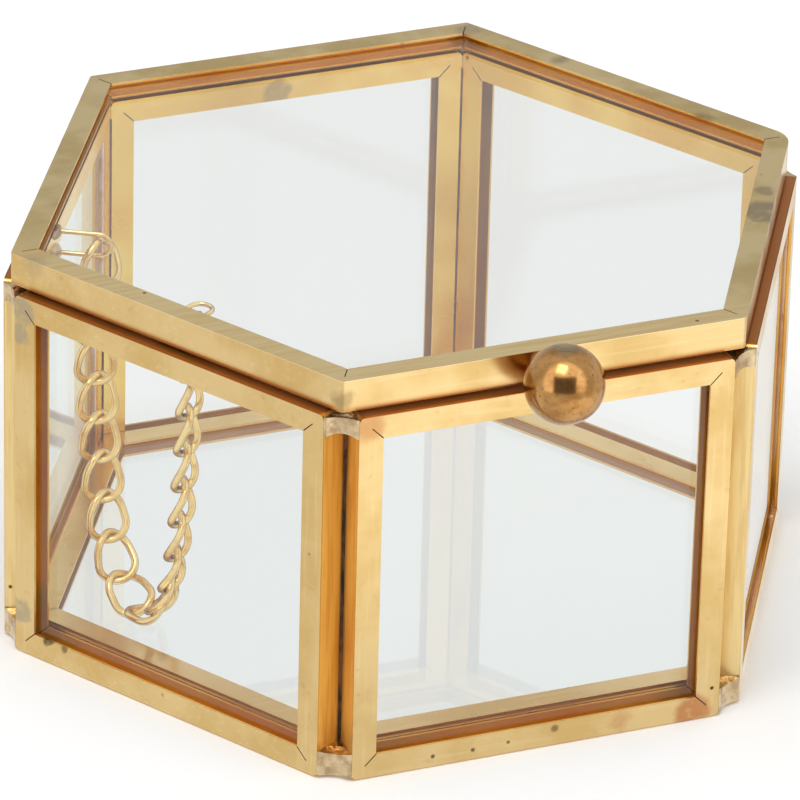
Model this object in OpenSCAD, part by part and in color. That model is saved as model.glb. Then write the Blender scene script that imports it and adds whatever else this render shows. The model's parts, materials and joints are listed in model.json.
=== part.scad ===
// Hexagonal glass casket: glass panes held in folded brass channels, joined with solder
// at the corners. A glazed lid turns on a tube hinge at the rear and is held by a chain.
// Z is up, the underside lies at Z = 0, the knob faces -Y and the hinge lies at +Y.

/* [Walls] */
// Width of one wall panel, which is the side of the hexagon inside the walls
side = 50; // [46:0.5:70]
// Height of the wall panels
wall_h = 51; // [50:0.5:70]
// Width of a wall channel, from its inner face to its outer face
came_d = 4.4; // [4:0.1:5.5]
// Width of the flanges of a wall channel
wall_flange = 3.2; // [2.4:0.1:5]
// Bend radius of a wall channel at its corners
wall_bend = 0.8; // [0.6:0.1:1.5]
// Thickness of the brass strip
strip = 0.35; // [0.25:0.05:0.4]
// Width of the mitre slits in the flanges
slit = 0.15; // [0.1:0.05:0.3]
// Length of the mitre slits
slit_l = 2.1; // [1:0.1:2.1]
// Gap between neighbouring wall panels
panel_gap = 0.05; // [0.02:0.01:0.2]

/* [Glass] */
// Thickness of every pane
glass_t = 3; // [2:0.1:3.1]
// Play between the edge of a pane and its channel
glass_play = 0.2; // [0.1:0.05:0.4]

/* [Floor] */
// Height of the floor channel
floor_h = 4; // [3.9:0.1:5]
// Width of the flanges of the floor channel
floor_flange = 3.1; // [2.4:0.1:5]
// Gap between the floor channel and the walls
floor_play = 0.1; // [0.05:0.05:0.3]

/* [Lid] */
// Height of the lid channel
lid_h = 4.2; // [4:0.1:5]
// Width of the flanges of the lid channel
lid_flange = 3.1; // [3:0.1:5]
// Gap between the top of the walls and the lid
lid_gap = 0.5; // [0.4:0.1:0.6]
// Set-back of the lid's side faces from the outer faces of the walls
lid_inset = 1.3; // [1.2:0.1:1.8]
// Bend radius of the lid channel at its corners
lid_bend = 0.6; // [0.5:0.1:1.5]
// Bend radius at the right-hand corner, which is softer than the others
lid_soft_bend = 4; // [3.2:0.1:6]

/* [Knob] */
// Diameter of the ball knob
knob_d = 10.1; // [8:0.1:11]
// Gap between the ball and the lid's front face, filled by solder
knob_gap = 0.75; // [0.7:0.05:1.2]
// Height of the ball's centre above the middle of the lid channel
knob_rise = 0.15; // [0.1:0.05:1]
// Diameter of the sphere that sinks the dimple into the top of the ball
dimple_d = 4; // [3:0.1:6]
// Depth of the dimple
dimple_depth = 0.4; // [0.2:0.1:0.8]
// Diameter of the solder between the ball and the lid
knob_solder_d = 3.6; // [2:0.1:3.8]

/* [Solder] */
// Height of the solder in the corner gaps at the top of the walls
top_bead_h = 2.6; // [1.5:0.1:6]
// Height of the solder in the corner gaps at the bottom of the walls
bottom_bead_h = 3.4; // [1.5:0.1:6]
// Distance of the corner solder from the ends of the gap
bead_recess = 0.3; // [0.1:0.1:1]
// Radius of the hollow faces of the corner solder
bead_hollow_r = 4; // [3:0.1:8]
// Width of the flat land beside the hollow faces
bead_land = 0.35; // [0.2:0.05:1]

/* [Hinge] */
// Outer diameter of the hinge tubes
tube_d = 2.4; // [2:0.1:2.6]
// Diameter of the hinge pin
pin_d = 1.2; // [0.8:0.1:1.4]
// Radial play of the pin in the tubes
pin_play = 0.05; // [0.02:0.01:0.1]
// Length of the tube on the lid
lid_tube_l = 12; // [8:0.5:20]
// Length of each of the two tubes on the rear wall
wall_tube_l = 8; // [5:0.5:12]
// End gap between neighbouring tubes
tube_gap = 0.2; // [0.1:0.05:0.5]
// Gap between the lid's rear face and the tubes
tube_back_gap = 0.15; // [0.12:0.01:0.3]
// Gap between the top of the rear wall and the tubes
tube_rise = 0.15; // [0.12:0.01:0.3]
// Diameter of the peened heads of the hinge pin
pin_head_d = 1.9; // [1.5:0.1:2.2]
// Thickness of the peened heads of the hinge pin
pin_head_t = 0.5; // [0.3:0.1:1]
// Width of the solder beside the tubes
hinge_solder_w = 0.8; // [0.6:0.1:1]

/* [Chain] */
// Number of links in the chain
links = 18; // [12:1:18]
// Outer length of a link
link_l = 7.2; // [6:0.05:7.3]
// Outer width of a link
link_w = 5; // [4.6:0.1:5.4]
// Wire diameter of a link
link_wire = 0.8; // [0.6:0.05:0.85]
// Play between two linked wires
link_play = 0.2; // [0.15:0.01:0.3]
// Slope at which the chain would leave its ends if it were endless
chain_slope = 88; // [84:0.5:89]
// Wire diameter of the two staples
staple_wire = 0.6; // [0.5:0.05:0.8]
// Distance between the two legs of a staple, from centre to centre
staple_pitch = 3; // [2.8:0.1:3.2]
// Distance of the wall staple from the left corner, along the rear left wall
wall_staple_at = 11.5; // [10:0.5:14]
// Distance of the lid staple from the left corner, along the front left wall
lid_staple_at = 22.5; // [20:0.5:24]
// Reach of the wall staple into the box, to the middle of its bend
wall_staple_reach = 5.7; // [5:0.1:7]
// Reach of the lid staple into the box, to the middle of its bend
lid_staple_reach = 5; // [4.5:0.1:7]
// Depth of the wall staple below the top of the walls
wall_staple_drop = 1.7; // [1.7:0.1:2]
// Depth of the lid staple below the underside of the lid channel
lid_staple_drop = 0.6; // [0.5:0.05:0.8]
// Radius of the solder drops that hold the staples
staple_solder_r = 1.3; // [1:0.1:1.4]

/* [Hidden] */
$fn = 64;
CORNERS = 6;
TURN = 360 / CORNERS;
FACES = ["front", "front_right", "rear_right", "rear", "rear_left", "front_left"];
REAR_LEFT = 4;
FRONT_LEFT = 5;
PANE_ALPHA = 0.4;
// Lean of the chain's links out of its plane
LINK_LEAN = 45;
// Share of its radius by which a solder drop is sunk into the face that it sits on
DROP_SINK = 1 / 3;
// Number of times that the search for the width of the chain's bend halves its range
HALVINGS = 40;

// Distance by which cutting shapes run past the faces that they cut
past = 1;

// The walls stand on a hexagon; an apothem is the distance from its centre to a side
wall_in = side * cos(TURN / 2);
wall_out = wall_in + came_d;
floor_out = wall_in - floor_play;
lid_out = wall_out - lid_inset;
lid_z = wall_h + lid_gap;

knob_y = -(lid_out + knob_gap + knob_d / 2);
knob_z = lid_z + lid_h / 2 + knob_rise;

hinge_y = lid_out + tube_back_gap + tube_d / 2;
hinge_z = wall_h + tube_rise + tube_d / 2;
hinge_half = lid_tube_l / 2 + tube_gap + wall_tube_l;

link_pitch = link_l - 2 * link_wire - link_play;
link_arc_r = (link_w - link_wire) / 2;
link_leg = link_l - link_w;

// Frame of a wall panel: X along the panel, Y up, Z outwards from its inner face
module on_wall(i) {
    rotate([0, 0, TURN * i]) translate([0, -wall_in, 0]) rotate([90, 0, 0]) children();
}

// Direction in plan of the outward normal of a wall panel
function wall_normal(i) = [sin(TURN * i), -cos(TURN * i), 0];

// Direction in plan from the left corner along one of its two walls
function from_left(i) =
    let (s = i == REAR_LEFT ? 1 : -1) s * [-cos(TURN * i), -sin(TURN * i), 0];

// Place on the inner face of a wall at a distance from the left corner
function wall_spot(i, along, z) = [-side, 0, z] + along * from_left(i);

// Outline with rounded corners: every corner is cut between the two points where the
// rounding starts and ends, and a circle fills the cut
function unit(v) = v / norm(v);
function half_turn(a, b, c) = acos(unit(b - a) * unit(c - b)) / 2;
function round_start(a, b, c, r) = b - unit(b - a) * r * tan(half_turn(a, b, c));
function round_end(a, b, c, r) = b + unit(c - b) * r * tan(half_turn(a, b, c));
function round_centre(a, b, c, r) =
    b + unit(unit(c - b) - unit(b - a)) * r / cos(half_turn(a, b, c));

module rounded_outline(points, radii) {
    n = len(points);
    polygon([for (i = [0:n - 1])
        let (a = points[(i + n - 1) % n], b = points[i], c = points[(i + 1) % n])
        each [round_start(a, b, c, radii[i]), round_end(a, b, c, radii[i])]]);
    for (i = [0:n - 1])
        translate(round_centre(points[(i + n - 1) % n], points[i], points[(i + 1) % n], radii[i]))
            circle(r = radii[i]);
}

// Upright outline of a wall panel, drawn in from its edge by an inset
module wall_outline(inset) {
    x = side / 2 - panel_gap / 2 - inset;
    low = inset;
    high = wall_h - inset;
    r = max(wall_bend - inset, strip / 2);
    rounded_outline([[-x, low], [x, low], [x, high], [-x, high]], [r, r, r, r]);
}

// Hexagonal outline with one soft corner on +X
module hexagon_outline(apothem, bend, soft_bend) {
    rounded_outline(
        [for (i = [0:CORNERS - 1]) apothem / cos(TURN / 2) * [cos(TURN * i), sin(TURN * i)]],
        [for (i = [0:CORNERS - 1]) i == 0 ? soft_bend : bend]
    );
}

// Folded channel round an outline: the web runs round the edge, and a flange lies on
// each face. Children are the outline, the outline of the hollow and the window.
module channel(depth) {
    difference() {
        linear_extrude(depth) children(0);
        translate([0, 0, strip]) linear_extrude(depth - 2 * strip) children(1);
        translate([0, 0, -past]) linear_extrude(depth + 2 * past) children(2);
    }
}

// Straight mitre slit along +X, from the corner of the window towards that of the frame
module mitre_slit(depth) {
    translate([-strip, -slit / 2, -past]) cube([strip + slit_l, slit, depth + 2 * past]);
}

module wall_came(i) {
    corner = side / 2 - panel_gap / 2;
    color("goldenrod") on_wall(i) difference() {
        channel(came_d) {
            wall_outline(0);
            wall_outline(strip);
            wall_outline(wall_flange);
        }
        for (x = [-1, 1], top = [0, 1])
            translate([x * (corner - wall_flange), top ? wall_h - wall_flange : wall_flange, 0])
                rotate([0, 0, atan2(top ? 1 : -1, x)])
                    mitre_slit(came_d);
    }
}

module wall_pane(i) {
    inset = strip + glass_play;
    color("lightcyan", PANE_ALPHA) on_wall(i)
        translate([0, 0, (came_d - glass_t) / 2])
            linear_extrude(glass_t) wall_outline(inset);
}

module hexagon_came(apothem, height, flange, bend, soft_bend) {
    window = (apothem - flange) / cos(TURN / 2);
    tight = strip / 2;
    difference() {
        channel(height) {
            hexagon_outline(apothem, bend, soft_bend);
            hexagon_outline(apothem - strip, max(bend - strip, tight), max(soft_bend - strip, tight));
            hexagon_outline(apothem - flange, max(bend - flange, tight), max(soft_bend - flange, tight));
        }
        for (i = [0:CORNERS - 1])
            rotate([0, 0, TURN * i])
                translate([window, 0, 0])
                    mitre_slit(height);
    }
}

module hexagon_pane(apothem, bend, soft_bend) {
    inset = strip + glass_play;
    linear_extrude(glass_t)
        hexagon_outline(apothem - inset, max(bend - inset, strip), max(soft_bend - inset, strip));
}

module floor_came() {
    color("darkgoldenrod") hexagon_came(floor_out, floor_h, floor_flange, lid_bend, lid_bend);
}

module floor_pane() {
    color("lightcyan", PANE_ALPHA) translate([0, 0, (floor_h - glass_t) / 2])
        hexagon_pane(floor_out, lid_bend, lid_bend);
}

module lid_came() {
    color("goldenrod") translate([0, 0, lid_z])
        hexagon_came(lid_out, lid_h, lid_flange, lid_bend, lid_soft_bend);
}

module lid_pane() {
    color("lightcyan", PANE_ALPHA) translate([0, 0, lid_z + (lid_h - glass_t) / 2])
        hexagon_pane(lid_out, lid_bend, lid_soft_bend);
}

module knob_ball() {
    color("darkgoldenrod") translate([0, knob_y, knob_z]) difference() {
        sphere(d = knob_d);
        translate([0, 0, (knob_d + dimple_d) / 2 - dimple_depth]) sphere(d = dimple_d);
    }
}

module knob_solder() {
    color("silver") difference() {
        translate([0, -lid_out, knob_z - knob_rise])
            rotate([90, 0, 0]) cylinder(d = knob_solder_d, h = knob_gap + knob_solder_d / 2);
        translate([0, knob_y, knob_z]) sphere(d = knob_d);
    }
}

// Solder in the triangular gaps between the walls, hollow outwards and at its inner end.
// A bead stands on the bottom end of its gap, or hangs below the top end.
module corner_beads(height, upper) {
    depth = came_d * cos(TURN / 2);
    sink = sqrt(pow(bead_hollow_r, 2) - pow(came_d / 2 - bead_land, 2));
    base = upper ? wall_h - bead_recess - height : bead_recess;
    hollow_z = upper ? -sink : height + sink;
    for (i = [0:CORNERS - 1])
        rotate([0, 0, TURN * i]) translate([side, 0, base]) difference() {
            linear_extrude(height) polygon([[0, 0], [depth, -came_d / 2], [depth, came_d / 2]]);
            translate([depth + sink, 0, -past]) cylinder(r = bead_hollow_r, h = height + 2 * past);
            translate([depth, 0, hollow_z]) sphere(r = bead_hollow_r);
        }
}

module top_corner_solder() {
    color("silver") corner_beads(top_bead_h, true);
}

module bottom_corner_solder() {
    color("silver") corner_beads(bottom_bead_h, false);
}

// A bored hinge tube along X, from its left end
module hinge_tube(x, length) {
    translate([x, hinge_y, hinge_z]) rotate([0, 90, 0]) difference() {
        cylinder(d = tube_d, h = length);
        translate([0, 0, -past]) cylinder(d = pin_d + 2 * pin_play, h = length + 2 * past);
    }
}

module wall_hinge_tubes() {
    color("darkgoldenrod") {
        hinge_tube(-hinge_half, wall_tube_l);
        hinge_tube(hinge_half - wall_tube_l, wall_tube_l);
    }
}

module lid_hinge_tube() {
    color("darkgoldenrod") hinge_tube(-lid_tube_l / 2, lid_tube_l);
}

module hinge_pin() {
    color("goldenrod") {
        translate([-hinge_half - tube_gap, hinge_y, hinge_z]) rotate([0, 90, 0])
            cylinder(d = pin_d, h = 2 * (hinge_half + tube_gap));
        for (x = [-hinge_half - tube_gap - pin_head_t, hinge_half + tube_gap])
            translate([x, hinge_y, hinge_z]) rotate([0, 90, 0])
                cylinder(d = pin_head_d, h = pin_head_t);
    }
}

// Solder between the tubes and the top of the rear wall, kept clear of the lid
module wall_hinge_solder() {
    width = wall_out - hinge_y + hinge_solder_w;
    color("silver") difference() {
        for (x = [-hinge_half, hinge_half - wall_tube_l])
            translate([x, wall_out - width, wall_h]) cube([wall_tube_l, width, hinge_solder_w]);
        translate([-hinge_half - past, hinge_y, hinge_z]) rotate([0, 90, 0])
            cylinder(d = tube_d, h = 2 * (hinge_half + past));
    }
}

// Solder between the middle tube and the lid's rear face
module lid_hinge_solder() {
    height = tube_d / 2;
    color("silver") difference() {
        translate([-lid_tube_l / 2, lid_out, hinge_z - height / 2])
            cube([lid_tube_l, tube_back_gap + hinge_solder_w, height]);
        translate([-lid_tube_l / 2 - past, hinge_y, hinge_z]) rotate([0, 90, 0])
            cylinder(d = tube_d, h = lid_tube_l + 2 * past);
    }
}

// Hairpin of wire along +X: the bend is centred on the origin, and the legs lie one
// above the other in the XZ plane
module hairpin(leg) {
    r = staple_pitch / 2;
    rotate([90, 0, 0]) rotate([0, 0, -90]) rotate_extrude(angle = 180)
        translate([r, 0]) circle(d = staple_wire);
    for (z = [-r, r]) translate([-leg, 0, z]) rotate([0, 90, 0]) cylinder(d = staple_wire, h = leg);
}

// Places a shape whose +X points into the box square to a wall
module into_box(i, spot) {
    translate(spot) rotate([0, 0, TURN * i + 90]) children();
}

wall_staple_spot = wall_spot(REAR_LEFT, wall_staple_at, wall_h - wall_staple_drop);
lid_staple_spot = wall_spot(FRONT_LEFT, lid_staple_at, lid_z - lid_staple_drop);

module wall_staple() {
    color("goldenrod") into_box(REAR_LEFT, wall_staple_spot)
        translate([wall_staple_reach, 0, 0]) hairpin(wall_staple_reach);
}

// Blocks that fill everything behind the plane X = 0 and above a level
module behind() {
    translate([-side, -side / 2, -side]) cube([side, side, 2 * side]);
}

module above(z) {
    translate([-side / 2, -side / 2, z]) cube(side);
}

// Two drops of solder on the inner flange, each round one leg of the staple, kept clear
// of the lid
module wall_staple_solder() {
    r = staple_pitch / 2;
    color("silver") into_box(REAR_LEFT, wall_staple_spot) difference() {
        for (z = [-r, r]) translate([-DROP_SINK * staple_solder_r, 0, z]) sphere(r = staple_solder_r);
        behind();
        above(wall_staple_drop + lid_gap / 2);
        for (z = [-r, r]) translate([-past, 0, z]) rotate([0, 90, 0])
            cylinder(d = staple_wire, h = wall_staple_reach);
    }
}

// Place of the lid's inner flange edge and of the solder drops beside it, into the box
lid_edge_in = wall_in - (lid_out - lid_flange);
lid_drop_in = lid_edge_in + (1 - DROP_SINK) * staple_solder_r;

module lid_staple() {
    color("goldenrod") into_box(FRONT_LEFT, lid_staple_spot)
        translate([lid_staple_reach, 0, 0]) rotate([90, 0, 0])
            hairpin(lid_staple_reach - lid_drop_in);
}

// Two drops of solder under the lid's pane, against the inner edge of its flange
module lid_staple_solder() {
    r = staple_pitch / 2;
    color("silver") into_box(FRONT_LEFT, lid_staple_spot) difference() {
        for (y = [-r, r]) translate([lid_drop_in, y, lid_staple_drop + strip])
            sphere(r = staple_solder_r);
        translate([lid_edge_in, 0, 0]) behind();
        above(lid_staple_drop + (lid_h - glass_t) / 2);
        for (y = [-r, r]) translate([lid_drop_in, y, 0]) rotate([0, 90, 0])
            cylinder(d = staple_wire, h = lid_staple_reach);
    }
}

// The chain hangs as equal links between two points at one height. The links grow steeper
// on both sides of its middle, and the width of the bend is set so that the ends meet.
chain_from = wall_staple_spot - wall_staple_reach * wall_normal(REAR_LEFT);
chain_to = [lid_staple_spot[0], lid_staple_spot[1], chain_from[2]]
    - lid_staple_reach * wall_normal(FRONT_LEFT);
chain_span = norm(chain_to - chain_from);
chain_heading = atan2(chain_to[1] - chain_from[1], chain_to[0] - chain_from[0]);
function sum(list, i = 0) = i < len(list) ? list[i] + sum(list, i + 1) : 0;
function slope(k, bend) =
    let (m = k - (links + 1) / 2) chain_slope * m / sqrt(pow(m, 2) + pow(bend, 2));
function spanned(bend) = link_pitch * sum([for (k = [1:links]) cos(slope(k, bend))]);
function fit_bend(low, high, steps) =
    let (middle = (low + high) / 2)
    steps == 0 ? middle
    : spanned(middle) > chain_span ? fit_bend(low, middle, steps - 1)
    : fit_bend(middle, high, steps - 1);
chain_bend = fit_bend(0, links, HALVINGS);
function link_start(k) = k == 1 ? [0, 0] : link_start(k - 1)
    + link_pitch * [cos(slope(k - 1, chain_bend)), sin(slope(k - 1, chain_bend))];

// Oval link along +X in the XY plane, from the pivot at the origin to the next one
module oval_link() {
    translate([link_pitch / 2, 0, 0]) for (turn = [0, 180]) rotate([0, 0, turn]) {
        translate([link_leg / 2, 0, 0]) rotate([0, 0, -90]) rotate_extrude(angle = 180)
            translate([link_arc_r, 0]) circle(d = link_wire);
        translate([-link_leg / 2, link_arc_r, 0]) rotate([0, 90, 0])
            cylinder(d = link_wire, h = link_leg);
    }
}

// Neighbouring links lean to opposite sides of the chain's plane
module chain_link(k) {
    start = link_start(k);
    lean = k % 2 == 0 ? LINK_LEAN : -LINK_LEAN;
    color("gold") translate(chain_from) rotate([0, 0, chain_heading])
        translate([start[0], 0, start[1]]) rotate([0, -slope(k, chain_bend), 0])
            rotate([lean, 0, 0]) oval_link();
}

for (i = [0:CORNERS - 1])
    wall_came(i);
for (i = [0:CORNERS - 1])
    wall_pane(i);
floor_came();
floor_pane();
lid_came();
lid_pane();
knob_ball();
knob_solder();
top_corner_solder();
bottom_corner_solder();
wall_hinge_tubes();
wall_hinge_solder();
lid_hinge_tube();
lid_hinge_solder();
hinge_pin();
wall_staple();
wall_staple_solder();
lid_staple();
lid_staple_solder();
for (k = [1:links])
    chain_link(k);
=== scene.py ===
"""Looks of the hexagonal glass casket: brass, solder, glass, the curb chain, stage and light."""
import json
import math

import bmesh
import bpy
from mathutils import Matrix, Vector


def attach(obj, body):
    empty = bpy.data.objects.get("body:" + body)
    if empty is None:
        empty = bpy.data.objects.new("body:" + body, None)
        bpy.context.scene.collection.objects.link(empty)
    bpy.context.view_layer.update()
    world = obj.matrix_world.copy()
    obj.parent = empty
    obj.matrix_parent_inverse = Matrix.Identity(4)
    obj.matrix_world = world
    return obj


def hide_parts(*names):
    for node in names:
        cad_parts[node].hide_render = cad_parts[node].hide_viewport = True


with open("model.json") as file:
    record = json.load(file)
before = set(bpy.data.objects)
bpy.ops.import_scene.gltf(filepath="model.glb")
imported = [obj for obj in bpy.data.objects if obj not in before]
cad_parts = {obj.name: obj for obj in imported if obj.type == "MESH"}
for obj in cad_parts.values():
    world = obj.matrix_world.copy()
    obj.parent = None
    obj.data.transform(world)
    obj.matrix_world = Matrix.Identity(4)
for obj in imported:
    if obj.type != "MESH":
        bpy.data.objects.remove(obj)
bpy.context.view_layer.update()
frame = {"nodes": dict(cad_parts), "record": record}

MM = 0.001
UP = (0.0, 0.0, 1.0)
FACES = ["front", "front_right", "rear_right", "rear", "rear_left", "front_left"]
LINKS = sorted(
    (name for name in frame["nodes"] if name.startswith("chain_link_")),
    key=lambda name: int(name.rsplit("_", 1)[1]),
)

# Places of the faces of the CAD: distances from the middle of the box, and heights
WALL_IN = 43.301 * MM
WALL_OUT = 47.701 * MM
WALL_TOP = 51.0 * MM
WALL_FLANGE = 3.2 * MM
HALF_WALL = 24.975 * MM
UPRIGHT_FROM = 21.4 * MM
LID_OUT = 46.401 * MM
LID_LOW = 51.5 * MM
LID_TOP = 55.7 * MM
HEX_FLANGE = 3.1 * MM
FLOOR_OUT = 43.201 * MM
FLOOR_TOP = 4.0 * MM
STRIP = 0.35 * MM
DIMPLE = (0.0, -52.2 * MM, 58.4 * MM)
TO_FRONT_CORNER = (-0.5, -0.866, 0.0)


def wall_angle(i):
    return i * math.pi / 3


def wall_normal(i):
    """Direction out of the box, square to a wall."""
    return (math.sin(wall_angle(i)), -math.cos(wall_angle(i)), 0.0)


def wall_side(i):
    """Direction along the width of a wall."""
    return (math.cos(wall_angle(i)), math.sin(wall_angle(i)), 0.0)


# ---------------------------------------------------------------- node helpers


class Tree:
    """A node tree with short calls for the nodes that the finishes and the room use."""

    def __init__(self, owner, output, place):
        owner.use_nodes = True
        self.owner = owner
        self.nodes = owner.node_tree.nodes
        self.links = owner.node_tree.links
        self.nodes.clear()
        self.output = self.nodes.new(output)
        self.place = self.nodes.new("ShaderNodeTexCoord").outputs[place]

    def link(self, source, socket):
        if isinstance(source, (int, float)):
            socket.default_value = source
        elif isinstance(source, tuple):
            socket.default_value = source if len(source) == 4 else (*source, 1.0)
        else:
            self.links.new(source, socket)

    def stretched(self, scale, turn=(0.0, 0.0, 0.0)):
        """The place of a point, turned and scaled."""
        node = self.nodes.new("ShaderNodeMapping")
        node.inputs["Rotation"].default_value = turn
        node.inputs["Scale"].default_value = scale
        self.links.new(self.place, node.inputs["Vector"])
        return node.outputs["Vector"]

    def noise(self, size, detail=4.0, roughness=0.55, place=None, output="Fac"):
        """Noise whose features are about size metres across."""
        node = self.nodes.new("ShaderNodeTexNoise")
        node.inputs["Scale"].default_value = 1.0 / size
        node.inputs["Detail"].default_value = detail
        node.inputs["Roughness"].default_value = roughness
        self.links.new(place or self.place, node.inputs["Vector"])
        return node.outputs[output]

    def cells(self, size):
        """Distance to scattered points that are about size metres apart, in cell sizes."""
        node = self.nodes.new("ShaderNodeTexVoronoi")
        node.inputs["Scale"].default_value = 1.0 / size
        self.links.new(self.place, node.inputs["Vector"])
        return node.outputs["Distance"]

    def step(self, value, low, high, out_low=0.0, out_high=1.0):
        """Maps low..high smoothly to out_low..out_high."""
        node = self.nodes.new("ShaderNodeMapRange")
        node.interpolation_type = "SMOOTHSTEP"
        node.inputs["From Min"].default_value = low
        node.inputs["From Max"].default_value = high
        node.inputs["To Min"].default_value = out_low
        node.inputs["To Max"].default_value = out_high
        self.link(value, node.inputs["Value"])
        return node.outputs["Result"]

    def fall(self, value, low, high):
        """1 up to low, falling smoothly to 0 at high."""
        return self.step(value, low, high, 1.0, 0.0)

    def math(self, operation, a, b=0.0):
        node = self.nodes.new("ShaderNodeMath")
        node.operation = operation
        self.link(a, node.inputs[0])
        self.link(b, node.inputs[1])
        return node.outputs["Value"]

    def both(self, a, b):
        return self.math("MULTIPLY", a, b)

    def without(self, a):
        return self.math("SUBTRACT", 1.0, a)

    def mix(self, amount, a, b):
        """Value a where amount is 0, and b where it is 1."""
        node = self.nodes.new("ShaderNodeMix")
        self.link(amount, node.inputs["Factor"])
        self.link(a, node.inputs["A"])
        self.link(b, node.inputs["B"])
        return node.outputs["Result"]

    def blend(self, amount, a, b):
        """Colour a where amount is 0, and b where it is 1."""
        node = self.nodes.new("ShaderNodeMix")
        node.data_type = "RGBA"
        self.link(amount, node.inputs["Factor"])
        self.link(a, node.inputs["A"])
        self.link(b, node.inputs["B"])
        return node.outputs["Result"]

    def vector(self, operation, a, b):
        node = self.nodes.new("ShaderNodeVectorMath")
        node.operation = operation
        for value, socket in ((a, node.inputs[0]), (b, node.inputs[1])):
            if isinstance(value, (tuple, Vector)):
                socket.default_value = value
            else:
                self.links.new(value, socket)
        return node

    def torn(self, size, reach):
        """The place of a point, shifted by up to about reach metres in patches of a size."""
        shift = self.noise(size, 4.0, 0.5, output="Color")
        shift = self.vector("SUBTRACT", shift, (0.5, 0.5, 0.5)).outputs["Vector"]
        shift = self.vector("MULTIPLY", shift, (2 * reach, 2 * reach, 2 * reach)).outputs["Vector"]
        return self.vector("ADD", self.place, shift).outputs["Vector"]

    def near(self, centre, radius, soft, place=None):
        """1 within radius of a point, falling to 0 over soft metres."""
        distance = self.vector("DISTANCE", place or self.place, centre).outputs["Value"]
        return self.fall(distance, radius, radius + soft)

    def along(self, direction):
        """How far a point lies from the origin along a direction."""
        return self.vector("DOT_PRODUCT", self.place, direction).outputs["Value"]

    def off(self, direction):
        """How far a point lies from the origin along a direction, to either side."""
        return self.math("ABSOLUTE", self.along(direction))

    def band(self, value, low, high, soft):
        """1 where value lies between low and high."""
        return self.both(
            self.step(value, low - soft, low + soft), self.fall(value, high - soft, high + soft)
        )

    def bump(self, height, depth, normal=None):
        """A normal for height, where 1 stands depth metres proud."""
        node = self.nodes.new("ShaderNodeBump")
        node.inputs["Strength"].default_value = 1.0
        node.inputs["Distance"].default_value = depth
        self.link(height, node.inputs["Height"])
        if normal:
            self.links.new(normal, node.inputs["Normal"])
        return node.outputs["Normal"]

    def facing(self, low, high):
        """0 where a face is seen square on, rising to 1 where it is seen along its surface."""
        node = self.nodes.new("ShaderNodeLayerWeight")
        node.inputs["Blend"].default_value = 0.5
        return self.step(node.outputs["Facing"], low, high)

    def ray(self, kind):
        return self.nodes.new("ShaderNodeLightPath").outputs[kind]

    def surface(self, colour, roughness, metallic=1.0, normal=None):
        shader = self.nodes.new("ShaderNodeBsdfPrincipled")
        self.link(colour, shader.inputs["Base Color"])
        self.link(roughness, shader.inputs["Roughness"])
        self.link(metallic, shader.inputs["Metallic"])
        if normal:
            self.links.new(normal, shader.inputs["Normal"])
        self.links.new(shader.outputs["BSDF"], self.output.inputs["Surface"])
        return shader

    def choose(self, amount, first, second):
        """Puts out the shader of node first where amount is 0, and of node second where it is 1."""
        mix = self.nodes.new("ShaderNodeMixShader")
        self.link(amount, mix.inputs["Fac"])
        self.links.new(first.outputs[0], mix.inputs[1])
        self.links.new(second.outputs[0], mix.inputs[2])
        self.links.new(mix.outputs["Shader"], self.output.inputs["Surface"])


def finish_tree(name):
    return Tree(bpy.data.materials.new(name), "ShaderNodeOutputMaterial", "Object")


def linear(red, green, blue):
    """A colour given as it shows on screen, 0 to 255."""
    return tuple(
        c / 12.92 if c <= 0.04045 else ((c + 0.055) / 1.055) ** 2.4
        for c in (red / 255, green / 255, blue / 255)
    )


# ---------------------------------------------------------------- colours and marks

# Pairs go from the light patches of a finish to its deep ones
SATIN = (linear(224, 194, 136), linear(212, 178, 114))
SATIN_STREAK = linear(238, 214, 164)
SATIN_STAIN = linear(168, 120, 58)
SPECK = linear(96, 60, 28)
# Painted shade: a deeper gold band at the foot of the lid's side
LID_FOOT_SHADE = linear(196, 132, 60)
# Painted light on the lid's top: a paler sheen, and a brighter highlight towards the front corner
LID_TOP_SHEEN = (linear(232, 211, 158), linear(206, 182, 124))
LID_TOP_HIGHLIGHT = (linear(250, 226, 170), linear(240, 208, 146))
# Painted bounce light: the channels' hollows in a bright orange, in place of light bounced between
# brass faces
HOLLOW_BOUNCE_LIGHT = (linear(255, 190, 86), linear(248, 168, 64))
# Painted bounce light: the webs deeper orange at the front corner
WEB_BOUNCE_LIGHT = (linear(246, 206, 122), linear(232, 182, 96))
WEB_PALE = (linear(238, 210, 148), linear(224, 192, 128))
# Painted shade on the ledge under the lid
LEDGE_SHADE = linear(170, 104, 44)
# Painted reflected light on the wall faces towards the box's inside
INSIDE_REFLECTION = (linear(255, 216, 120), linear(248, 198, 100))
FLUX = linear(178, 162, 130)
GREY = linear(164, 146, 114)
TARNISH = linear(70, 38, 16)
SOOT = linear(26, 14, 8)
COPPER = linear(190, 120, 74)
SOLDER = (linear(222, 198, 158), linear(180, 150, 112))
SOLDER_FLUX = linear(140, 98, 60)
KNOB = (linear(196, 150, 94), linear(164, 116, 64))
KNOB_SCRATCH = linear(118, 74, 36)
KNOB_SPECK = linear(72, 40, 18)
HINGE_WIRE = (linear(222, 184, 112), linear(178, 134, 66))
CHAIN_WIRE = (linear(255, 226, 156), linear(232, 186, 104))
# Painted shade towards the rim of the wire
WIRE_RIM_SHADE = linear(132, 84, 34)
RESIDUE = (linear(112, 62, 24), linear(44, 22, 10))

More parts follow.
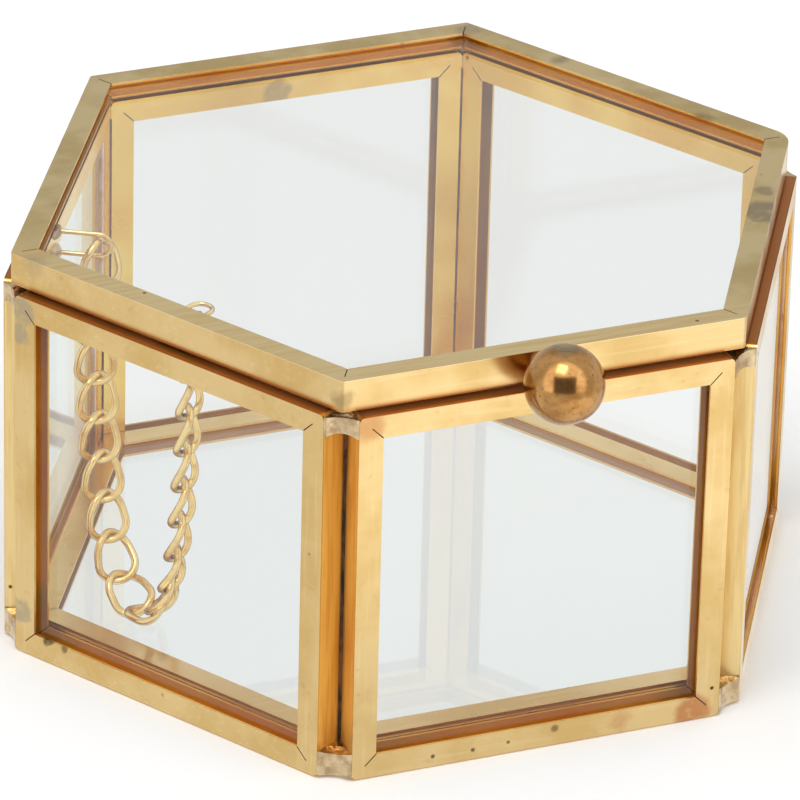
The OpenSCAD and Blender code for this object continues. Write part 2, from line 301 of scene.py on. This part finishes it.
# Glass lets through these shares of light: square on, and along its surface
PANE_TINT = ((0.935, 0.947, 0.941), (0.84, 0.93, 0.865))
FLOOR_TINT = ((0.845, 0.868, 0.856), (0.78, 0.88, 0.81))
WIPED_TINT = (0.9, 0.915, 0.905)
SHADOW_TINT = (0.955, 0.965, 0.96, 1.0)
GLASS_IOR = 1.5

# Sizes of the patterns of the channels
CLOUD_SIZE = 12.0 * MM
FINE_SIZE = 1.6 * MM
GRAIN_SIZE = 0.7 * MM
GRAIN_DRAWN = 0.06
PIT_SPACING = 4.2 * MM
PITTED_AREA = 20.0 * MM
ROUGH_SPAN = (0.3, 0.75)

# Marks on the channels in millimetres: centre, radius, soft edge, colour, strength
MARKS = {
    "front": [
        ((-20.1, -47.7, 3.9), 0.1, 0.25, SOOT, 0.9),
        ((-20.2, -47.7, 5.4), 0.1, 0.2, SOOT, 0.9),
        ((-14.1, -47.7, 1.4), 0.12, 0.3, SOOT, 0.8),
        ((-8.7, -47.7, 1.3), 0.12, 0.3, TARNISH, 0.8),
        ((-3.9, -47.7, 1.5), 0.1, 0.25, TARNISH, 0.8),
        ((2.4, -47.7, 2.3), 0.25, 0.5, TARNISH, 0.6),
        ((21.3, -47.7, 1.1), 1.6, 1.6, COPPER, 0.8),
        ((11.4, -47.7, 1.8), 0.6, 1.4, COPPER, 0.4),
        ((-23.8, -47.7, 49.5), 1.2, 1.5, COPPER, 0.5),
    ],
    "front_left": [
        ((-53.4, -2.9, 5.9), 1.4, 0.8, FLUX, 0.8),
        ((-51.0, -6.9, 3.0), 0.5, 0.5, SOOT, 0.8),
        ((-49.8, -9.2, 2.8), 0.4, 0.4, SOOT, 0.6),
        ((-53.2, -3.2, 49.0), 1.5, 0.8, FLUX, 0.9),
        ((-53.4, -2.9, 45.6), 1.2, 0.8, FLUX, 0.9),
        ((-27.0, -46.5, 3.0), 1.0, 1.6, COPPER, 0.5),
    ],
    "rear": [((-1.5, 43.3, 48.9), 1.6, 0.8, GREY, 0.6)],
    "lid": [
        ((41.4, -19.9, 55.7), 2.6, 1.2, GREY, 0.9),
        ((43.8, -14.0, 55.7), 0.9, 0.8, GREY, 0.7),
        ((-52.0, -3.5, 55.7), 0.8, 2.0, FLUX, 0.4),
        ((44.5, 8.6, 55.7), 0.8, 1.6, TARNISH, 0.4),
        ((34.1, 31.2, 55.7), 0.4, 1.5, TARNISH, 0.4),
        ((26.0, 44.0, 55.7), 0.8, 1.8, FLUX, 0.7),
        ((-26.8, -46.2, 53.0), 0.6, 1.4, TARNISH, 0.4),
    ],
}
MARK_TEAR_SIZE = 2.2 * MM
MARK_TEAR_REACH = 1.1 * MM
LARGEST_ROUND_MARK = 0.3


# ---------------------------------------------------------------- channels


def wall_hollow(tree, i):
    """Mask of a wall channel's web and of the sides of its flanges that face the glass."""
    return tree.band(
        tree.along(wall_normal(i)), WALL_IN + STRIP / 2, WALL_OUT - STRIP / 2, STRIP / 4
    )


def hexagon_hollow(tree, low, high, outer):
    """Mask of a hexagonal channel's hollow."""
    between = tree.band(tree.along(UP), low + STRIP / 2, high - STRIP / 2, STRIP / 4)
    reach = 0.0
    for i in range(3):
        reach = tree.math("MAXIMUM", tree.off(wall_normal(i)), reach)
    return tree.both(between, tree.fall(reach, outer - STRIP * 0.75, outer - STRIP / 2))


def grain(tree, wall):
    """Streaks along the strip: level in the rails, and upright at both sides of a wall panel."""
    turn = (0.0, 0.0, -wall_angle(wall or 0))
    lying = tree.noise(GRAIN_SIZE, 2.0, 0.5, tree.stretched((GRAIN_DRAWN, 1.0, 1.0), turn))
    if wall is None:
        return lying
    standing = tree.noise(GRAIN_SIZE, 2.0, 0.5, tree.stretched((1.0, 1.0, GRAIN_DRAWN), turn))
    rails = tree.fall(tree.off(wall_side(wall)), UPRIGHT_FROM, UPRIGHT_FROM + 0.2 * MM)
    return tree.mix(rails, standing, lying)


def lid_colour(tree, colour, clouds, streaks):
    """The lid's channel: painted shade in deeper gold at the foot of its side, and a paler painted
    sheen on top that turns to a brighter painted highlight towards the front corner.
    """
    height = tree.along(UP)
    # Painted shade at the foot of the lid's side
    foot = tree.step(height, LID_LOW, LID_LOW + 0.9 * MM, 0.75, 0.0)
    side = tree.step(height, LID_LOW + 0.01 * MM, LID_LOW + 0.06 * MM)
    colour = tree.blend(tree.both(foot, side), colour, LID_FOOT_SHADE)
    # Painted sheen on the lid's top, turning to a painted highlight towards the front corner
    dull = tree.blend(tree.step(clouds, 0.4, 0.62), *LID_TOP_SHEEN)
    top_highlight = tree.blend(tree.step(streaks, 0.4, 0.7), *LID_TOP_HIGHLIGHT)
    front = tree.step(tree.along(TO_FRONT_CORNER), 12 * MM, 34 * MM)
    top = tree.step(height, LID_TOP - 0.1 * MM, LID_TOP - 0.05 * MM, 0.0, 0.8)
    return tree.blend(top, colour, tree.blend(front, dull, top_highlight))


def web_colour(tree, wall, hollow, streaks):
    """The outer side of a wall's web, over the colour of its hollow: painted bounce light in deeper
    orange at the front corner.
    """
    outer = tree.step(tree.off(wall_side(wall)), HALF_WALL - STRIP * 0.75, HALF_WALL - STRIP / 2)
    share = tree.step(streaks, 0.42, 0.66)
    # Painted bounce light towards the front corner
    corner = tree.step(tree.along(TO_FRONT_CORNER), 36 * MM, 42 * MM)
    web = tree.blend(corner, tree.blend(share, *WEB_PALE), tree.blend(share, *WEB_BOUNCE_LIGHT))
    return tree.blend(outer, hollow, web)


def wall_colour(tree, wall, colour, clouds):
    """A wall's channel: painted shade in brown on the ledge under the lid, and a brighter painted
    reflected light on the faces towards the box's inside.
    """
    # Painted shade on the ledge under the lid
    ledge = tree.step(tree.along(UP), WALL_TOP - 0.15 * MM, WALL_TOP - 0.05 * MM)
    colour = tree.blend(ledge, colour, LEDGE_SHADE)
    # Painted reflected light on the faces towards the inside
    bright = tree.blend(tree.step(clouds, 0.4, 0.62), *INSIDE_REFLECTION)
    inner = tree.fall(tree.along(wall_normal(wall)), WALL_IN, WALL_IN + 0.1 * MM)
    return tree.blend(inner, colour, bright)


def marked(tree, colour, marks, fine):
    """Colour with marks of flux, heat and soot; all but the smallest have torn edges."""
    torn = tree.torn(MARK_TEAR_SIZE, MARK_TEAR_REACH) if marks else None
    for centre, radius, soft, tint, strength in marks:
        place = torn if radius > LARGEST_ROUND_MARK else None
        spot = tree.near(tuple(c * MM for c in centre), radius * MM, soft * MM, place)
        ragged = tree.both(spot, tree.step(fine, 0.25, 0.5, 0.4 * strength, strength))
        colour = tree.blend(ragged, colour, tint)
    return colour


def channel_brass(name, marks, hollow_mask, wall=None):
    """Satin brass strip; wall is a wall panel's number, and None for the lid and the floor."""
    tree = finish_tree(name)
    clouds = tree.noise(CLOUD_SIZE, 4.0, 0.55)
    fine = tree.noise(FINE_SIZE, 3.0, 0.6)
    streaks = grain(tree, wall)
    pits = tree.fall(tree.cells(PIT_SPACING), 0.04, 0.09)
    specks = tree.both(pits, tree.step(tree.noise(PITTED_AREA, 2.0), 0.52, 0.64))
    colour = tree.blend(tree.step(clouds, 0.38, 0.66), *SATIN)
    colour = tree.blend(tree.step(streaks, 0.5, 0.8, 0.0, 0.3), colour, SATIN_STREAK)
    colour = tree.blend(tree.step(fine, 0.6, 0.8, 0.0, 0.25), colour, SATIN_STAIN)
    hidden = hollow_mask(tree)
    # Painted bounce light in the hollow
    hollow = tree.blend(tree.step(clouds, 0.36, 0.66), *HOLLOW_BOUNCE_LIGHT)
    if wall is None:
        colour = lid_colour(tree, colour, clouds, streaks)
        colour = tree.blend(hidden, colour, hollow)
    else:
        colour = tree.blend(hidden, colour, web_colour(tree, wall, hollow, streaks))
        colour = wall_colour(tree, wall, colour, clouds)
    colour = tree.blend(specks, colour, SPECK)
    colour = marked(tree, colour, marks, fine)
    rough = tree.step(clouds, *ROUGH_SPAN, 0.2, 0.3)
    rough = tree.math("ADD", rough, tree.both(hidden, 0.08))
    normal = tree.bump(streaks, 3e-6)
    normal = tree.bump(clouds, 1.5e-5, normal)
    normal = tree.bump(tree.without(specks), 3e-5, normal)
    tree.surface(colour, rough, tree.without(tree.both(hidden, 0.25)), normal)
    return tree.owner


# ---------------------------------------------------------------- glass, solder, knob and wire


def pane_glass(name, tint):
    """Float glass: grey-clear square on, green along its surface, with faint wipe marks."""
    tree = finish_tree(name)
    wipes = tree.noise(20 * MM, 3.0, 0.5, tree.stretched((1.0, 0.35, 1.0), (0.3, 0.2, 0.7)))
    colour = tree.blend(tree.facing(0.6, 0.92), *tint)
    colour = tree.blend(tree.step(wipes, 0.5, 0.85, 0.0, 0.35), colour, WIPED_TINT)
    shader = tree.surface(colour, 0.0, metallic=0.0)
    shader.inputs["Transmission Weight"].default_value = 1.0
    shader.inputs["IOR"].default_value = GLASS_IOR
    clear = tree.nodes.new("ShaderNodeBsdfTransparent")
    clear.inputs["Color"].default_value = SHADOW_TINT
    tree.choose(tree.ray("Is Shadow Ray"), shader, clear)
    return tree.owner


def solder():
    """Tinned solder: pale, flowed and dull, with brown flux left in places."""
    tree = finish_tree("solder")
    clouds = tree.noise(1.8 * MM, 4.0, 0.6)
    flux = tree.noise(4.2 * MM, 3.0, 0.6)
    colour = tree.blend(tree.step(clouds, 0.35, 0.7), *SOLDER)
    colour = tree.blend(tree.step(flux, 0.54, 0.72, 0.0, 0.8), colour, SOLDER_FLUX)
    rough = tree.step(clouds, *ROUGH_SPAN, 0.2, 0.4)
    normal = tree.bump(tree.noise(1.8 * MM, 2.0), 3.5e-4)
    tree.surface(colour, rough, normal=normal)
    return tree.owner


def knob_brass():
    """Turned ball in darkened brass: fine scratches, and specks of tarnish on a brown polish."""
    tree = finish_tree("knob_brass")
    clouds = tree.noise(3.8 * MM, 5.0, 0.6)
    fine = tree.noise(0.7 * MM, 4.0, 0.65)
    colour = tree.blend(tree.step(clouds, 0.35, 0.68), *KNOB)
    colour = tree.blend(tree.step(fine, 0.5, 0.72, 0.0, 0.45), colour, KNOB_SCRATCH)
    specks = tree.fall(tree.cells(1.4 * MM), 0.04, 0.12)
    colour = tree.blend(tree.both(specks, 0.7), colour, KNOB_SPECK)
    worn = tree.near(DIMPLE, 0.6 * MM, 1.5 * MM, tree.torn(1.4 * MM, 0.6 * MM))
    colour = tree.blend(worn, colour, GREY)
    rough = tree.step(clouds, *ROUGH_SPAN, 0.13, 0.2)
    tree.surface(colour, rough, normal=tree.bump(fine, 6e-6))
    return tree.owner


def wire_brass(name, pair):
    """Drawn brass wire: bright, with painted shade in brown towards its rim, and slightly darker,
    rougher patches.
    """
    tree = finish_tree(name)
    clouds = tree.noise(2.1 * MM, 4.0, 0.6)
    colour = tree.blend(tree.step(clouds, 0.4, 0.8), *pair)
    # Painted shade towards the wire's rim
    colour = tree.blend(tree.facing(0.35, 0.85), colour, WIRE_RIM_SHADE)
    rough = tree.step(clouds, *ROUGH_SPAN, 0.16, 0.3)
    tree.surface(colour, rough, normal=tree.bump(tree.noise(0.6 * MM, 3.0), 8e-6))
    return tree.owner


def dark_residue():
    """Brown flux and solder: a finish for seams and slits."""
    tree = finish_tree("seam_residue")
    patches = tree.noise(1.6 * MM, 5.0, 0.65, tree.stretched((1.0, 1.0, 0.35)))
    colour = tree.blend(tree.step(patches, 0.4, 0.62), *RESIDUE)
    rough = tree.step(patches, 0.35, 0.7, 0.35, 0.6)
    tree.surface(colour, rough, 0.5, tree.bump(patches, 1e-4))
    return tree.owner


def dress(node, material):
    """Gives a CAD node one material in every slot."""
    mesh = frame["nodes"][node].data
    mesh.materials.clear()
    mesh.materials.append(material)


def dress_all():
    glass = pane_glass("pane_glass", PANE_TINT)
    for i, face in enumerate(FACES):
        brass = channel_brass(
            "channel_" + face, MARKS.get(face, []), lambda tree, i=i: wall_hollow(tree, i), i
        )
        dress(face + "_came", brass)
        dress(face + "_pane", glass)
    for node, low, high, outer in (
        ("lid", LID_LOW, LID_TOP, LID_OUT),
        ("floor", 0.0, FLOOR_TOP, FLOOR_OUT),
    ):
        span = (low, high, outer)
        brass = channel_brass(
            "channel_" + node, MARKS.get(node, []), lambda tree, span=span: hexagon_hollow(tree, *span)
        )
        dress(node + "_came", brass)
    dress("lid_pane", glass)
    dress("floor_pane", pane_glass("floor_glass", FLOOR_TINT))
    tin = solder()
    for node in frame["nodes"]:
        if node.endswith("_solder"):
            dress(node, tin)
    dress("knob_ball", knob_brass())
    hinge = wire_brass("hinge_brass", HINGE_WIRE)
    for node in ("wall_hinge_tubes", "lid_hinge_tube", "hinge_pin"):
        dress(node, hinge)
    chain = wire_brass("chain_brass", CHAIN_WIRE)
    for node in ["wall_staple", "lid_staple"] + LINKS:
        dress(node, chain)


# ---------------------------------------------------------------- residue in seams and slits

SEAM_LOW = 3.2 * MM
SEAM_HIGH = 48.6 * MM
SEAM_OUTLINE = ((49.82, 0.0), (50.34, -0.17), (50.34, 0.17))
SLIT_WIDTH = 0.13 * MM
SLIT_LENGTH = 2.0 * MM
SLIT_SUNK = 0.05 * MM


def add_prism(shape, place, outline, low, high):
    """Adds an upright prism over an outline, moved to its place."""
    ends = [[shape.verts.new(place @ Vector((x, y, z))) for x, y in outline] for z in (low, high)]
    for end in ends:
        shape.faces.new(end)
    for j in range(len(outline)):
        k = (j + 1) % len(outline)
        shape.faces.new((ends[0][j], ends[0][k], ends[1][k], ends[1][j]))


def slit_outline(start):
    """A slit that runs outwards from a distance along X."""
    half = SLIT_WIDTH / 2
    end = start + SLIT_LENGTH
    return ((start, -half), (start, half), (end, half), (end, -half))


def residue(name, body, material, fill):
    """A piece of residue that rides on a body; fill adds its solids."""
    shape = bmesh.new()
    fill(shape)
    bmesh.ops.recalc_face_normals(shape, faces=shape.faces)
    mesh = bpy.data.meshes.new(name)
    shape.to_mesh(mesh)
    shape.free()
    mesh.materials.append(material)
    piece = bpy.data.objects.new(name, mesh)
    bpy.context.scene.collection.objects.link(piece)
    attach(piece, body)


def fill_case(shape):
    """The seams between the wall panels, and the mitre slits in both flanges of each panel."""
    seam = [(x * MM, y * MM) for x, y in SEAM_OUTLINE]
    for i in range(len(FACES)):
        turn = Matrix.Rotation(wall_angle(i), 4, "Z")
        add_prism(shape, turn, seam, SEAM_LOW, SEAM_HIGH)
        upright = turn @ Matrix.Translation((0, -WALL_IN, 0)) @ Matrix.Rotation(math.pi / 2, 4, "X")
        for x in (-1, 1):
            for height, rise in ((WALL_FLANGE, -1), (WALL_TOP - WALL_FLANGE, 1)):
                corner = Matrix.Translation((x * (HALF_WALL - WALL_FLANGE), height, 0))
                place = upright @ corner @ Matrix.Rotation(math.atan2(rise, x), 4, "Z")
                for low in (SLIT_SUNK, WALL_OUT - WALL_IN - STRIP):
                    add_prism(shape, place, slit_outline(0.0), low, low + STRIP - SLIT_SUNK)


def fill_lid(shape):
    """The mitre slits in both flanges of the lid's channel."""
    window = (LID_OUT - HEX_FLANGE) / math.cos(math.pi / 6)
    for i in range(len(FACES)):
        turn = Matrix.Rotation(wall_angle(i), 4, "Z")
        for low in (LID_LOW + SLIT_SUNK, LID_TOP - STRIP):
            add_prism(shape, turn, slit_outline(window), low, low + STRIP - SLIT_SUNK)


# ---------------------------------------------------------------- the curb chain

WIRE = 0.98 * MM
LINK_LENGTH = 7.4 * MM
LINK_WIDTH = 6.0 * MM
LINK_PITCH = 5.4 * MM
LINK_TWIST = math.radians(29)
LINK_RINGS = 72
WIRE_SIDES = 14
CHAIN_FROM = Vector((-39.313655, 7.109292, 49.3)) * MM
CHAIN_TO = Vector((-34.419873, -16.985572, 49.3)) * MM
END_SLOPE = 88.0
HALVINGS = 40
FLAT_UNTIL = 8
EDGE_ON_FROM = 12
EDGE_ON_TURN = math.radians(39)


def link_slopes():
    """Slopes of the links: steep at both ends, and as wide as the ends ask for."""
    span = (CHAIN_TO - CHAIN_FROM).length
    middle = (len(LINKS) + 1) / 2
    offsets = [k - middle for k in range(1, len(LINKS) + 1)]
    low, high = 0.0, float(len(LINKS))
    for _ in range(HALVINGS):
        bend = (low + high) / 2
        slopes = [END_SLOPE * m / math.hypot(m, bend) for m in offsets]
        if LINK_PITCH * sum(math.cos(math.radians(a)) for a in slopes) > span:
            high = bend
        else:
            low = bend
    return [math.radians(a) for a in slopes]


def oval_point(share):
    """Place on the centre line of an oval link, at a share of its length."""
    radius = (LINK_WIDTH - WIRE) / 2
    leg = LINK_LENGTH - LINK_WIDTH
    run = share * (2 * leg + 2 * math.pi * radius)
    for half in (1, -1):
        if run < leg:
            return Vector((half * (leg / 2 - run), half * radius, 0.0))
        run -= leg
        if run < math.pi * radius:
            angle = run / radius
            end = Vector((-leg / 2 - radius * math.sin(angle), radius * math.cos(angle), 0.0))
            return half * end
        run -= math.pi * radius
    return Vector((leg / 2, radius, 0.0))


def twisted_point(share):
    """Place on the centre line of a link whose ends are turned by LINK_TWIST, each its own way."""
    point = oval_point(share % 1.0)
    angle = LINK_TWIST * point.x / ((LINK_LENGTH - WIRE) / 2)
    return Matrix.Rotation(angle, 3, "X") @ point


def wire_ring(shape, i):
    """Adds one ring of the wire's points round a link's centre line."""
    here = twisted_point(i / LINK_RINGS)
    ahead = twisted_point((i + 0.5) / LINK_RINGS) - twisted_point((i - 0.5) / LINK_RINGS)
    ahead.normalize()
    side = ahead.cross(here).normalized()
    up = side.cross(ahead)
    angles = [2 * math.pi * j / WIRE_SIDES for j in range(WIRE_SIDES)]
    return [
        shape.verts.new(here + WIRE / 2 * (math.cos(a) * up + math.sin(a) * side)) for a in angles
    ]


def curb_link(name):
    shape = bmesh.new()
    rings = [wire_ring(shape, i) for i in range(LINK_RINGS)]
    for i, ring in enumerate(rings):
        following = rings[(i + 1) % LINK_RINGS]
        for j in range(WIRE_SIDES):
            k = (j + 1) % WIRE_SIDES
            shape.faces.new((ring[j], ring[k], following[k], following[j])).smooth = True
    bmesh.ops.recalc_face_normals(shape, faces=shape.faces)
    mesh = bpy.data.meshes.new(name)
    shape.to_mesh(mesh)
    shape.free()
    return mesh


def hang_chain():
    """Puts a curb link in the place of each plain one, flat on the left and edge-on on the right."""
    bodies = frame["record"]["behaviour"]["bodies"]
    body_of = {node: body for body, nodes in bodies.items() for node in nodes}
    heading = CHAIN_TO - CHAIN_FROM
    plan = Matrix.Rotation(math.atan2(heading.y, heading.x), 4, "Z")
    corner = CHAIN_FROM.copy()
    mesh = curb_link("curb_link")
    for k, slope in enumerate(link_slopes(), start=1):
        turned = min(max((k - FLAT_UNTIL) / (EDGE_ON_FROM - FLAT_UNTIL), 0.0), 1.0)
        frame_of_link = plan @ Matrix.Rotation(-slope, 4, "Y")
        roll = Matrix.Rotation(turned * EDGE_ON_TURN, 4, "X")
        along = frame_of_link @ Vector((LINK_PITCH, 0, 0))
        node = LINKS[k - 1]
        shaped = mesh.copy()
        shaped.transform(Matrix.Translation(corner + along / 2) @ frame_of_link @ roll)
        shaped.name = "curb_" + node
        piece = bpy.data.objects.new("curb_" + node, shaped)
        bpy.context.scene.collection.objects.link(piece)
        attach(piece, body_of[node])
        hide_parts(node)
        shaped.materials.append(frame["nodes"][node].data.materials[0])
        corner += along


# ---------------------------------------------------------------- camera

CAMERA_PLACE = Vector((-309.1, -759.0, 452.6)) * MM
CAMERA_HEADING = math.radians(67.866)
CAMERA_TILT = math.radians(-27.509)
CAMERA_ROLL = math.radians(1.48)
CAMERA_REACH = 20.0
SENSOR_MM = 36.0
FOCAL_SHARE = 7116.0 / 800.0


def camera_axes():
    """Where the camera looks, and the directions to its right and upwards before it is rolled."""
    level = math.cos(CAMERA_TILT)
    forward = Vector(
        (level * math.cos(CAMERA_HEADING), level * math.sin(CAMERA_HEADING), math.sin(CAMERA_TILT))
    )
    right = forward.cross(Vector(UP)).normalized()
    return forward, right, right.cross(forward)


def camera():
    data = bpy.data.cameras.new("camera")
    data.sensor_width = SENSOR_MM
    data.lens = SENSOR_MM * FOCAL_SHARE
    data.clip_end = CAMERA_REACH
    forward, right, upward = camera_axes()
    side = right * math.cos(CAMERA_ROLL) + upward * math.sin(CAMERA_ROLL)
    top = upward * math.cos(CAMERA_ROLL) - right * math.sin(CAMERA_ROLL)
    turn = Matrix((side, top, -forward)).transposed().to_4x4()
    holder = bpy.data.objects.new("camera", data)
    holder.matrix_world = Matrix.Translation(CAMERA_PLACE) @ turn
    bpy.context.scene.collection.objects.link(holder)
    bpy.context.scene.camera = holder


# ---------------------------------------------------------------- stage and light

FLOOR_SIZE = 6.0
FLOOR_LEVEL = -0.2 * MM
PAPER = (0.88, 0.88, 0.88)
PAPER_ROUGHNESS = 0.9
PAPER_GLOW = 0.98
PAPER_GLOW_NEAR = 1.45
GLOW_CENTRE = (0.035, -0.16, 0.0)
GLOW_RADIUS = 0.045
GLOW_SOFT = 0.075
KEY_PLACE = Vector((-0.3, -0.32, 1.1))
KEY_TARGET = Vector((0, 0, 0.03))
KEY_SIZE = 0.5
KEY_POWER = 3.0

# Strengths of the room, and the lines between its parts as shares of a unit direction
ROOM_STRENGTH = 0.84
BOXES_GAIN = 0.95
OPENING_LOSS = 0.6
BEHIND_LOSS = 0.26
BEHIND = (0.334, 0.822, 0.462)
OPENING_SIDE = (0.56, 0.5)
OPENING_TOP = (0.36, 0.3)
OPENING_FOOT = (-0.76, -0.7)
OPENING_FRONT = (0.25, 0.35)
BOXES_FRONT = (0.35, 0.6)
BEHIND_SPAN = (0.75, 0.95)


def floor_white():
    """White paper that keeps a faint shadow; polished brass sees it brighter in front of the box."""
    tree = finish_tree("floor_white")
    paper = tree.surface(PAPER, PAPER_ROUGHNESS, metallic=0.0)
    glow = tree.nodes.new("ShaderNodeEmission")
    lit = tree.near(GLOW_CENTRE, GLOW_RADIUS, GLOW_SOFT)
    tree.link(tree.mix(lit, PAPER_GLOW, PAPER_GLOW_NEAR), glow.inputs["Strength"])
    tree.choose(tree.ray("Is Glossy Ray"), paper, glow)
    return tree.owner


def floor():
    mesh = bpy.data.meshes.new("floor")
    half = FLOOR_SIZE / 2
    corners = [(-half, -half), (half, -half), (half, half), (-half, half)]
    mesh.from_pydata([(x, y, FLOOR_LEVEL) for x, y in corners], [], [(0, 1, 2, 3)])
    mesh.materials.append(floor_white())
    piece = bpy.data.objects.new("floor", mesh)
    bpy.context.scene.collection.objects.link(piece)


def key_lamp():
    lamp = bpy.data.lights.new("key", "AREA")
    lamp.shape = "RECTANGLE"
    lamp.size = KEY_SIZE
    lamp.size_y = KEY_SIZE
    lamp.energy = KEY_POWER
    holder = bpy.data.objects.new("key", lamp)
    holder.location = KEY_PLACE
    holder.rotation_euler = (KEY_TARGET - KEY_PLACE).to_track_quat("-Z", "Y").to_euler()
    bpy.context.scene.collection.objects.link(holder)


def background(tree, strength):
    node = tree.nodes.new("ShaderNodeBackground")
    node.inputs["Color"].default_value = (1.0, 1.0, 1.0, 1.0)
    tree.link(strength, node.inputs["Strength"])
    return node


def world_light():
    """A white room: brighter round a dark opening on the viewer's side, and dimmer behind."""
    world = bpy.data.worlds.new("room")
    bpy.context.scene.world = world
    tree = Tree(world, "ShaderNodeOutputWorld", "Generated")
    forward, right, upward = camera_axes()
    front = tree.along(-forward)
    height = tree.along(upward)
    opening = tree.both(tree.step(tree.off(right), *OPENING_SIDE), tree.step(height, *OPENING_TOP))
    opening = tree.both(opening, tree.step(height, *OPENING_FOOT))
    opening = tree.both(opening, tree.step(front, *OPENING_FRONT))
    boxes = tree.both(tree.step(front, *BOXES_FRONT), tree.without(opening))
    behind = tree.step(tree.along(BEHIND), *BEHIND_SPAN)
    strength = tree.math("ADD", ROOM_STRENGTH, tree.both(boxes, BOXES_GAIN))
    strength = tree.math("SUBTRACT", strength, tree.both(opening, OPENING_LOSS))
    strength = tree.math("SUBTRACT", strength, tree.both(behind, BEHIND_LOSS))
    seen = tree.math("MAXIMUM", tree.ray("Is Camera Ray"), tree.ray("Is Transmission Ray"))
    tree.choose(seen, background(tree, strength), background(tree, 1.0))


bpy.context.scene.view_settings.view_transform = "Standard"
dress_all()
dark = dark_residue()
residue("case_residue", "case", dark, fill_case)
residue("lid_residue", "lid", dark, fill_lid)
hang_chain()
floor()
key_lamp()
world_light()
camera()
